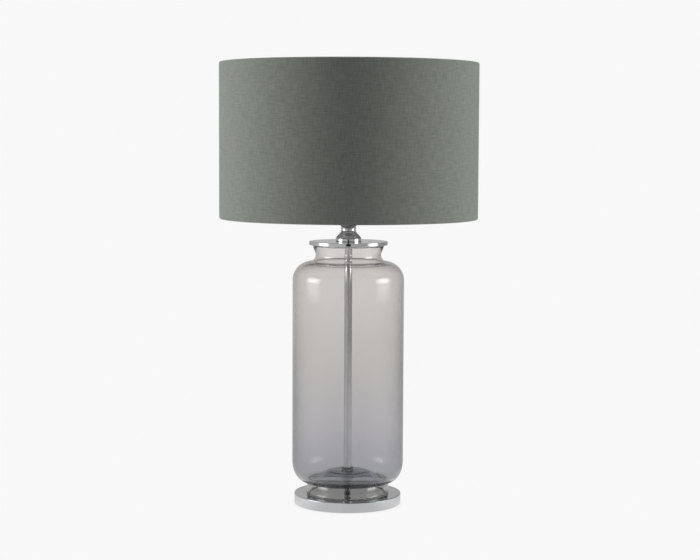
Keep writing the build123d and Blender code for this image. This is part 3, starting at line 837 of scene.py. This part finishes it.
@dataclass
class Studio:
    """A plain pale floor, soft light from both sides, and the camera."""

    camera_place: Vector = field(default_factory=lambda: Vector((0.0026, -2.6278, 0.5738)))
    camera_pitch: float = math.radians(4.859)
    camera_roll: float = math.radians(0.25)
    lens: float = 87.23
    sensor: float = 36.0
    far_clip: float = 200.0
    floor_size: float = 60.0
    floor_grey: float = 0.6
    floor_roughness: float = 0.9
    paper: float = 0.939
    # Painted contact shadow on the floor round the base: its darkest level and its reach in and
    # out.
    painted_shadow_level: float = 0.86
    painted_shadow_reach: Point = (6.0 * MM, 5.0 * MM)
    gap_rise: Range = (0.1, 0.4, 1.0, 0.25)
    # Painted dark strip on the floor in front, seen in mirrors, deepening from 0.7 m out.
    painted_gap_reach: Range = (0.7, 6.0, 0.0, 1.0)
    wall_fade: Range = (0.1, 0.9, 1.0, 0.5)
    # Painted pool of light on the floor, seen only in mirrors: a slight rise away from the base,
    # and the distances where it gives way to the walls.
    painted_pool_lift: float = 0.1
    painted_pool_starts: Point = (0.12, 0.35)
    painted_pool_ends: Range = (0.8, 1.6, 1.0, 0.0)
    painted_pool_fade: Range = (0.8, 2.2, 0.0, 1.0)
    ambient: float = 0.04
    box_distance: float = 2.2
    box_azimuth: float = math.radians(77)
    box_height: float = 0.71
    box_size: Point = (1.65, 1.09)
    box_power: float = 29.0
    box_fades: tuple[Point, ...] = ((0.16, 0.5), (0.21, 0.5))
    box_edge: float = 0.08
    fill_distance: float = 3.2
    fill_azimuth: float = math.radians(89)
    fill_powers: Point = (120.0, 95.0)
    overhead_height: float = 2.6
    overhead_power: float = 55.0

    def build(self) -> None:
        """Sets up everything that isn't the lamp."""
        bpy.context.scene.view_settings.view_transform = "Standard"
        self.add_camera()
        self.add_world()
        self.add_floor()
        self.add_lights()

    def add_camera(self) -> None:
        """Stands the camera in front, a little above the middle of the shade."""
        data = bpy.data.cameras.new("camera")
        data.lens = self.lens
        data.sensor_width = self.sensor
        data.clip_end = self.far_clip
        camera = add_object("camera", data)
        turned = (Matrix.Rotation(math.pi / 2 - self.camera_pitch, 4, "X")
                  @ Matrix.Rotation(self.camera_roll, 4, "Z"))
        camera.matrix_world = Matrix.Translation(self.camera_place) @ turned
        bpy.context.scene.camera = camera

    @staticmethod
    @cache
    def surroundings() -> Tree:
        """How bright the studio looks in a mirror, by the compass direction of the reflected ray.

        Returns:
            A node group that takes a direction or a place on the floor, with a dark gap at the
            front where the camera and its stand are.
        """
        tree, graph = Effects.start("studio_surroundings", {"Gap": 1.0})
        given = graph.node("NodeGroupInput")
        bearing = graph.bearing(given.outputs["Vector"])
        share = graph.remap(bearing, -math.pi, math.pi, 0.0, 1.0)
        level = graph.curve(share, WALL_TONES)
        gap = graph.remap(graph.maths("ABSOLUTE", bearing), *GAP_ANGLES, GAP_DEPTH, 0.0)
        dimmed = graph.without(graph.times(gap, given.outputs["Gap"]))
        Effects.outlet(graph, "Level", graph.times(level, dimmed))
        return tree

    @staticmethod
    def ray_masks(graph: Graph) -> tuple[Socket, ...]:
        """Tells straight views from mirrored ones.

        Args:
            graph: The graph of the world or of the floor.

        Returns:
            1 for rays straight from the camera or through glass, 1 for mirrored ones, and how much
            brighter the surround is for a ray that leaves through glass after a mirror.
        """
        path = graph.node("ShaderNodeLightPath")
        through = path.outputs["Is Transmission Ray"]
        bounced = graph.maths("GREATER_THAN", path.outputs["Glossy Depth"], 0.5)
        leaving = graph.times(through, bounced)
        mirrored = graph.maths("MAXIMUM", path.outputs["Is Glossy Ray"], leaving)
        clear = graph.times(through, graph.without(bounced))
        lift = graph.plus(1.0, graph.times(LIFT_AFTER_MIRROR, leaving))
        return graph.maths("MAXIMUM", path.outputs["Is Camera Ray"], clear), mirrored, lift

    def add_world(self) -> None:
        """A white surround to look at, and a studio with darker gaps to be mirrored in metal."""
        world = bpy.data.worlds.new("studio")
        bpy.context.scene.world = world
        world.use_nodes = True
        graph = Graph(world.node_tree)
        background = world.node_tree.nodes["Background"]
        way = graph.node("ShaderNodeTexCoord").outputs["Generated"]
        up = graph.split(way).outputs["Z"]
        walls = graph.group(self.surroundings(), vector=way,
                            gap=graph.remap(up, *self.gap_rise))
        studio = graph.times(walls.outputs["Level"], graph.remap(up, *self.wall_fade))
        seen, mirrored, boost = self.ray_masks(graph)
        studio = graph.times(studio, boost)
        hidden = graph.blend(mirrored, rgba((self.ambient,) * 3), studio)
        graph.feed(background.inputs["Color"], graph.blend(seen, hidden, rgba((self.paper,) * 3)))

    def add_floor(self) -> None:
        """Lays a wide pale floor with painted shadow round the base and painted light for mirrors.
        """
        deselect()
        bpy.ops.mesh.primitive_plane_add(size=self.floor_size)
        floor = rename(bpy.context.object, "floor")
        material = bpy.data.materials.new("pale_floor")
        material.use_nodes = True
        graph = Graph(material.node_tree)
        shader = material.node_tree.nodes["Principled BSDF"]
        graph.fill(shader, {"Base Color": rgba((self.floor_grey,) * 3),
                            "Roughness": self.floor_roughness})
        spot = graph.coordinates()
        reach = graph.node("ShaderNodeVectorMath", operation="LENGTH")
        graph.feed(reach.inputs[0], spot)
        away = reach.outputs["Value"]
        base = radius_of("base_shell")
        # Painted contact shadow: every glow of the floor darkens just round the base.
        inside, outside = self.painted_shadow_reach
        contact = graph.remap(away, base - inside, base + outside, self.painted_shadow_level, 1.0)
        # Painted reflection of the studio walls on the floor for mirrored rays, with a painted
        # dark strip in front.
        walls = graph.group(self.surroundings(), vector=spot,
                            gap=graph.remap(away, *self.painted_gap_reach))
        # Painted pool of light for mirrored rays: brighter beside the side lamps, slightly raised
        # away from the base.
        turned = graph.maths("DIVIDE", graph.maths("ABSOLUTE", graph.bearing(spot)), math.pi)
        painted_pool_tone = graph.curve(turned, PAINTED_POOL_TONES)
        painted_pool_rise = graph.times(graph.remap(away, *self.painted_pool_starts, 0.0, self.painted_pool_lift),
                          graph.remap(away, *self.painted_pool_ends))
        painted_pool = graph.blend(1.0, painted_pool_tone, graph.plus(painted_pool_rise, 1.0), "MULTIPLY")
        far = graph.remap(away, *self.painted_pool_fade)
        reflected = graph.blend(far, painted_pool, walls.outputs["Level"])
        # The camera and clear glass see the even paper glow; mirrored rays see the painted light;
        # other rays see the plain floor.
        paper = graph.node("ShaderNodeEmission")
        graph.feed(paper.inputs["Strength"], graph.times(contact, self.paper))
        studio = graph.node("ShaderNodeEmission")
        seen, mirrored, boost = self.ray_masks(graph)
        graph.feed(studio.inputs["Strength"], graph.times(boost, graph.times(
            contact, graph.split(reflected).outputs["X"])))
        result = shader.outputs[0]
        for mask, glow in ((mirrored, studio), (seen, paper)):
            result = graph.fill(graph.node("ShaderNodeMixShader"),
                                {0: mask, 1: result, 2: glow.outputs[0]}).outputs[0]
        graph.feed(material.node_tree.nodes["Material Output"].inputs[0], result)
        floor.data.materials.append(material)

    def soft_box(self, name: str, spot: Vector, target: Vector, power: float,
                 mirrored: bool) -> None:
        """Hangs a rectangular light that fades towards its edges.

        Args:
            name: Its name.
            spot: Where it hangs.
            target: The point that it faces.
            power: Its power in watts, before the fading.
            mirrored: Whether glass and metal mirror it.
        """
        data = bpy.data.lights.new(name, "AREA")
        data.shape = "RECTANGLE"
        data.size, data.size_y = self.box_size
        data.energy = power
        data.use_nodes = True
        graph = Graph(data.node_tree)
        glow = data.node_tree.nodes["Emission"]
        axes = graph.split(graph.node("ShaderNodeNewGeometry").outputs["Parametric"])
        fades = []
        for axis, (full, gone) in zip("XY", self.box_fades):
            off = graph.maths("ABSOLUTE", graph.maths("SUBTRACT", axes.outputs[axis], 0.5))
            fades.append(graph.remap(off, full, gone, 1.0, self.box_edge))
        graph.feed(glow.inputs["Strength"], graph.times(*fades))
        light = add_object(name, data)
        light.location = spot
        light.rotation_euler = (target - spot).to_track_quat("-Z", "Y").to_euler()
        light.visible_camera = False
        light.visible_transmission = mirrored
        light.visible_glossy = mirrored

    def add_lights(self) -> None:
        """Hangs a mirrored soft box and an unmirrored fill on each side, and a fill overhead."""
        target = Vector((0, 0, self.box_height))
        for side, name, fill in zip((-1, 1), ("left", "right"), self.fill_powers):
            for kind, distance, azimuth, power in (
                    ("box", self.box_distance, self.box_azimuth, self.box_power),
                    ("fill", self.fill_distance, self.fill_azimuth, fill)):
                aside = Vector((side * math.sin(azimuth), -math.cos(azimuth), 0))
                self.soft_box(f"{name}_{kind}", target + distance * aside, target, power,
                              kind == "box")
        self.soft_box("overhead_fill", Vector((0, 0, self.overhead_height)), target,
                      self.overhead_power, False)


# ------------------------------------------------------------------ lamp

@dataclass
class WeightedBase:
    """The chrome disc with its weight, felt, inlet bush and clamping nut."""

    felt_bore: float = 14.0 * MM
    felt_edge: float = 0.4 * MM

    def build(self) -> None:
        """Makes and dresses the base."""
        restore("base_shell", "chrome_disc", Body.ROOT, CHROME)
        self.cut_felt()
        restore("base_weight", "iron_weight", Body.ROOT, IRON, 0.4 * MM)
        restore("cable_gland", "inlet_bush", Body.ROOT, RUBBER, 0.15 * MM)
        restore("base_nut", "nut_under_base", Body.ROOT, ZINC, 0.3 * MM)
        restore("base_washer", "washer_under_base", Body.ROOT, ZINC, 0.15 * MM)

    def cut_felt(self) -> None:
        felt = ring_for("base_felt", "felt_pad", FELT, self.felt_bore, self.felt_edge, 128)


@dataclass
class GlassVessel:
    """The blown body: hollow foot, floor, straight side, shoulder, neck and flared lip."""

    wall: float = 3.0 * MM
    foot_radius: float = 64.0 * MM
    foot_edge: float = 1.4 * MM
    foot_root: float = 64.5 * MM
    foot_bend: float = 28.0 * MM
    foot_belly: float = 0.6 * MM
    foot_taper: float = 2.6 * MM
    underside: float = 34.8 * MM
    corner_height: float = 32.0 * MM
    shoulder_radius: float = 29.3 * MM
    shoulder_height: float = 350.5 * MM
    neck_radius: float = 50.9 * MM
    neck_height: float = 389.4 * MM
    sweep: Point = (8.7 * MM, 9.6 * MM)
    flare_radius: float = 12.0 * MM
    flare_angle: float = 18.3
    floor_underside: float = 34.3 * MM
    dome_top: float = 51.3 * MM
    dome_underside: float = 47.3 * MM
    dome_foot: float = 58.0 * MM
    dome_flat: float = 28.0 * MM
    hole: float = 5.6 * MM
    rim: float = 1.2 * MM
    steps: int = 14
    facets: int = 256

    def side(self, inset: float) -> Outline:
        """The side from the underside to the lip.

        Args:
            inset: 0 for the outer face, and the wall's thickness for the inner one.

        Returns:
            The outline of that face.
        """
        body = radius_of("glass_body")
        lip_top = high_of("glass_body")
        line = Outline()
        line.arc((self.foot_root, self.underside + self.corner_height),
                 (body - self.foot_root - inset, self.corner_height - inset), 270, 90,
                 self.steps + 4)
        for share in (0.25, 0.5, 0.75):
            start = self.underside + self.corner_height
            line.to(body - inset, start + (self.shoulder_height - start) * share)
        centre = body - self.shoulder_radius
        sweep_centre = self.neck_radius + self.sweep[0]
        top = math.degrees(math.acos((sweep_centre - centre) / self.shoulder_radius))
        reach = self.shoulder_radius - inset
        line.arc((centre, self.shoulder_height), (reach, reach), 0, top, self.steps)
        line.arc((sweep_centre, self.neck_height),
                 (self.sweep[0] + inset, self.sweep[1] + inset), 270, -90, self.steps)
        flare = self.flare_radius + inset
        line.arc((self.neck_radius + self.flare_radius, self.neck_height), (flare, flare),
                 180, -self.flare_angle, 5)
        radius, height = line.points[-1]
        rise = lip_top - height
        line.to(radius + rise * math.tan(math.radians(self.flare_angle)), lip_top)
        return line

    def build(self) -> None:
        """Blows the body and lays its two seals."""
        outer = self.side(0.0)
        inner = self.side(self.wall)
        foot_low = low_of("glass_body")
        bore = self.foot_radius - self.wall
        edge = self.foot_edge
        line = Outline().to(bore - self.foot_taper, self.floor_underside)
        line.to(bore - self.foot_belly, self.foot_bend)
        line.arc((bore + edge, foot_low + edge), (edge, edge), 180, 90, 6)
        line.arc((self.foot_radius - edge, foot_low + edge), (edge, edge), 270, 90, 6)
        line.to(self.foot_radius - self.foot_belly, self.foot_bend)
        line.to(self.foot_radius - self.foot_taper, self.underside)
        line.points += outer.points
        rim = self.rim
        lip_out, lip_in = outer.points[-1][0], inner.points[-1][0]
        line.points.pop()
        line.arc((lip_out - rim, high_of("glass_body") - rim), (rim, rim), 0, 90, 5)
        line.arc((lip_in + rim, high_of("glass_body") - rim), (rim, rim), 90, 90, 5)
        line.points += reversed(inner.points[:-1])
        line.to(self.dome_foot, inner.points[0][1])
        line.ease(self.dome_flat, self.dome_top, self.steps, level=True)
        line.to(self.hole, self.dome_top).to(self.hole, self.dome_underside)
        line.to(self.dome_flat, self.dome_underside)
        line.ease(self.dome_foot, self.floor_underside, self.steps, level=True).close()
        vessel = turn("glass_vessel", line, self.facets)
        pick(vessel)
        bpy.ops.object.shade_smooth_by_angle(angle=GLASS_ANGLE)
        place(vessel, Body.ROOT, GLASS, "glass_body")
        vessel.data.materials.append(GLASS_INSIDE.material())
        vessel.data.materials.append(GLASS_FLOOR.material())
        for face in vessel.data.polygons:
            across = Vector((face.center.x, face.center.y, 0))
            if across.length < self.dome_foot and face.center.z < self.dome_top + 1 * MM:
                face.material_index = 2
            else:
                face.material_index = 1 if across.dot(face.normal) < 0 else 0
        for node, name in (("foot_gasket", "foot_seal"), ("lip_gasket", "lip_seal")):
            restore(node, name, Body.ROOT, SEAL, 0.15 * MM)


@dataclass
class Stem:
    """The threaded rod, the tube over it, the collar on the glass floor and the nut below it."""

    pitch: float = 1.0 * MM
    thread_depth: float = 0.55 * MM
    rod_wall: float = 1.0 * MM
    tube_wall: float = 0.7 * MM
    tube_edge: float = 0.15 * MM
    collar_gap: float = 0.1 * MM
    round_edge: float = 0.6 * MM

    def build(self) -> None:
        """Makes and dresses the stem."""
        rod = threaded_tube("threaded_stem_rod", radius_of("threaded_rod"), self.thread_depth,
                            self.pitch, low_of("threaded_rod"), high_of("threaded_rod"),
                            self.rod_wall, 16)
        place(rod, Body.ROOT, ZINC, "threaded_rod")
        tube_radius = radius_of("centre_tube")
        ring_for("centre_tube", "stem_tube", CHROME, tube_radius - self.tube_wall, self.tube_edge)
        ring_for("floor_collar", "stem_collar", BLACK, tube_radius + self.collar_gap,
                 self.round_edge)
        ring_for("floor_nut", "round_nut_under_dome", CHROME, radius_of("threaded_rod"),
                 self.round_edge)
        for node, name in (("floor_washer", "washer_under_dome"), ("floor_seal", "collar_seal")):
            restore(node, name, Body.ROOT, SEAL, 0.2 * MM)


@dataclass
class NeckFittings:
    """The cap on the glass, and the bell, thin ring and cup above it."""

    cap_edge: float = 0.7 * MM
    ring_edge: float = 0.5 * MM
    cup_edge: float = 0.2 * MM
    spigot_radius: float = 46.5 * MM
    spigot_wall: float = 2.5 * MM
    hole: float = 5.1 * MM
    bell_rim: float = 3.7 * MM
    rim_edge: float = 0.8 * MM
    socket: Point = (9.0 * MM, 423.0 * MM)
    waist: float = 11.3 * MM
    waist_height: float = 428.0 * MM
    cup_wall: float = 1.2 * MM
    cup_floor: float = 2.0 * MM
    cup_full_height: float = 446.0 * MM

    def build(self) -> None:
        """Makes and dresses the fittings."""
        self.turn_cap()
        self.turn_bell()
        ring_for("bell_ring", "thin_ring", CHROME, self.hole, self.ring_edge)
        self.turn_cup()

    def turn_cap(self) -> None:
        """Turns the flat cap with its rounded edge and the centring ring below it."""
        radius = radius_of("cap_disc")
        top = high_of("cap_disc")
        bottom = high_of("lip_gasket")
        spigot = low_of("cap_disc")
        line = Outline().to(self.hole, bottom).to(self.spigot_radius - self.spigot_wall, bottom)
        line.to(self.spigot_radius - self.spigot_wall, spigot).to(self.spigot_radius, spigot)
        line.to(self.spigot_radius, bottom).to(radius, bottom).to(radius, top)
        line.to(self.hole, top).close()
        cap = soften(turn("neck_cap", line, 192), self.cap_edge, 4)
        place(cap, Body.ROOT, CHROME, "cap_disc")

    def turn_bell(self) -> None:
        """Turns the bell with its rounded rim and its sweep up to the waist."""
        low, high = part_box("neck_bell")
        radius = high.x
        rim_top = low.z + self.bell_rim
        edge = self.rim_edge
        line = Outline().to(self.socket[0], low.z).to(radius - edge, low.z)
        line.arc((radius - edge, low.z + edge), (edge, edge), 270, 90, 4)
        line.to(radius, rim_top).ease(self.waist, self.waist_height, 16)
        line.to(self.waist, high.z).to(self.hole, high.z).to(self.hole, self.socket[1])
        line.to(*self.socket).close()
        place(soften(turn("neck_bell_turned", line, 128)), Body.ROOT, CHROME, "neck_bell")

    def turn_cup(self) -> None:
        """Turns the flared cup under the lampholder."""
        low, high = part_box("holder_cup")
        radius = high.x
        line = Outline().to(self.hole, low.z).to(self.waist, low.z)
        line.ease(radius, self.cup_full_height, 16).to(radius, high.z)
        inner = radius - self.cup_wall
        line.to(inner, high.z).to(inner, self.cup_full_height)
        line.ease(self.waist - self.cup_wall, low.z + self.cup_floor, 16)
        line.to(self.hole, low.z + self.cup_floor).close()
        cup = soften(turn("flared_cup", line, 128), self.cup_edge)
        place(cup, Body.ROOT, CHROME, "holder_cup")


@dataclass
class Lampholder:
    """The screw lampholder, its contacts, its push-through switch and the shade's ring."""

    def build(self) -> None:
        """Makes and dresses the lampholder."""
        for node, name, finish, edge in (
                ("holder_base", "holder_body", BLACK, 0.4 * MM),
                ("holder_sleeve", "holder_skirt", BLACK, 0.3 * MM),
                ("switch_block", "snap_switch", BLACK, 0.3 * MM),
                ("contact_insulator", "ceramic_insert", STEATITE, 0.3 * MM),
                ("thread_shell", "brass_screw_shell", BRASS, 0.08 * MM),
                ("centre_contact", "spring_tongue", BRASS, 0.08 * MM),
                ("terminal_screws", "terminal_screw_pair", BRASS, 0.08 * MM),
                ("holder_lock_nut", "nut_in_holder", ZINC, 0.3 * MM)):
            restore(node, name, Body.ROOT, finish, edge)
        restore("switch_bar", "push_bar", Body.SWITCH, BLACK, 0.1 * MM)
        restore("shade_ring", "fluted_ring", Body.RING, BLACK, 0.3 * MM)


@dataclass
class DrumShade:
    """The drum: cloth rolled round two hoops, a white lining, and the wire fitter."""

    cloth: float = 0.8 * MM
    lap: float = 12.0 * MM
    lap_lift: float = 1.02
    tail: float = 60.0
    rows: int = 48
    facets: int = 240
    seam_azimuth: float = math.radians(84)

    def build(self) -> None:
        """Makes and dresses the shade."""
        self.wrap_cloth()
        restore("shade_lining", "white_lining", Body.SHADE, LINING)
        for node, name in (("bottom_hoop", "lower_wire_hoop"), ("top_hoop", "upper_wire_hoop"),
                           ("fitter_arms", "three_wire_arms"), ("fitter_ring", "carrier_ring")):
            restore(node, name, Body.SHADE, WIRE)

    def wrap_cloth(self) -> None:
        """Wraps the cloth round once with a lapped seam at the back, and rolls both edges."""
        low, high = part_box("shade_fabric")
        radius = high.x - self.cloth / 2
        wire = (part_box("top_hoop")[1].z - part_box("top_hoop")[0].z) / 2
        roll = wire + self.cloth / 2
        hoop = radius - roll
        low_centre = low.z + wire + self.cloth
        high_centre = high.z - wire - self.cloth
        rolled = 270 - self.tail
        line = Outline().arc((hoop, low_centre), (roll, roll), -rolled, rolled, 12)
        for row in range(1, self.rows):
            line.to(radius, low_centre + (high_centre - low_centre) * row / self.rows)
        line.arc((hoop, high_centre), (roll, roll), 0, rolled, 12)
        sweep = FULL_TURN + self.lap / radius
        cloth = turn("linen_drum", line, self.facets, sweep, self.seam_azimuth)
        self.lay_out(cloth, line, sweep)
        wall = cloth.modifiers.new("cloth_thickness", "SOLIDIFY")
        wall.thickness = self.cloth
        wall.offset = 0.0
        apply_modifiers(cloth)
        pick(cloth)
        bpy.ops.object.shade_smooth_by_angle(angle=CLOTH_ANGLE)
        place(cloth, Body.SHADE, CLOTH, "shade_fabric")

    def lay_out(self, cloth: Piece, line: Outline, sweep: float) -> None:
        """Gives the cloth UV coordinates in metres of flat cloth, and lifts its lap.

        Args:
            cloth: The cloth's mesh, without its thickness.
            line: The outline that it was spun from.
            sweep: The angle that it was spun through.
        """
        mesh = cloth.data
        while mesh.uv_layers:
            mesh.uv_layers.remove(mesh.uv_layers[0])
        layer = mesh.uv_layers.new(name="cloth")
        count = len(line.points)
        length = [0.0]
        for before, after in zip(line.points, line.points[1:]):
            length.append(length[-1] + math.dist(before, after))
        radius = max(point[0] for point in line.points)
        step = sweep / self.facets
        rows = []
        for vertex in mesh.vertices[:count]:
            spot = (math.hypot(vertex.co.x, vertex.co.y), vertex.co.z)
            rows.append(min(range(count), key=lambda row: math.dist(spot, line.points[row])))
        for loop in mesh.loops:
            column, row_index = divmod(loop.vertex_index, count)
            layer.data[loop.index].uv = (column * step * radius, length[rows[row_index]])
        lap = self.lap / radius / step
        for vertex in mesh.vertices:
            column, row_index = divmod(vertex.index, count)
            share = min(1.0, max(0.0, (column - (self.facets - 2 * lap)) / lap))
            rise = self.cloth * self.lap_lift * smooth(share)
            if share > 0.0 and 0 < rows[row_index] < count - 1:
                scale = 1 + rise / math.hypot(vertex.co.x, vertex.co.y)
                vertex.co.x *= scale
                vertex.co.y *= scale


@dataclass
class Bulb:
    """The screw bulb: cap, insulator, tip, housing, board and globe."""

    def build(self) -> None:
        """Makes and dresses the bulb."""
        for node, name, finish, edge in (
                ("bulb_globe", "opal_globe", OPAL, 0.0),
                ("bulb_housing", "bulb_cone", WHITE, 0.0),
                ("bulb_led_board", "light_board", WHITE, 0.1 * MM),
                ("bulb_screw_cap", "bulb_cap", NICKEL, 0.1 * MM),
                ("bulb_insulator", "bulb_cap_insulator", BLACK, 0.1 * MM),
                ("bulb_contact", "bulb_tip", BRASS, 0.2 * MM)):
            restore(node, name, Body.BULB, finish, edge)


def main() -> None:
    """Builds the stage and then the lamp, from its base up."""
    logging.basicConfig(level=logging.INFO, format="%(name)s: %(message)s")
    Studio().build()
    for assembly in (WeightedBase(), GlassVessel(), Stem(), NeckFittings(), Lampholder(),
                     DrumShade(), Bulb()):
        LOG.info("building %s", type(assembly).__name__)
        assembly.build()


if __name__ == "__main__":
    main()
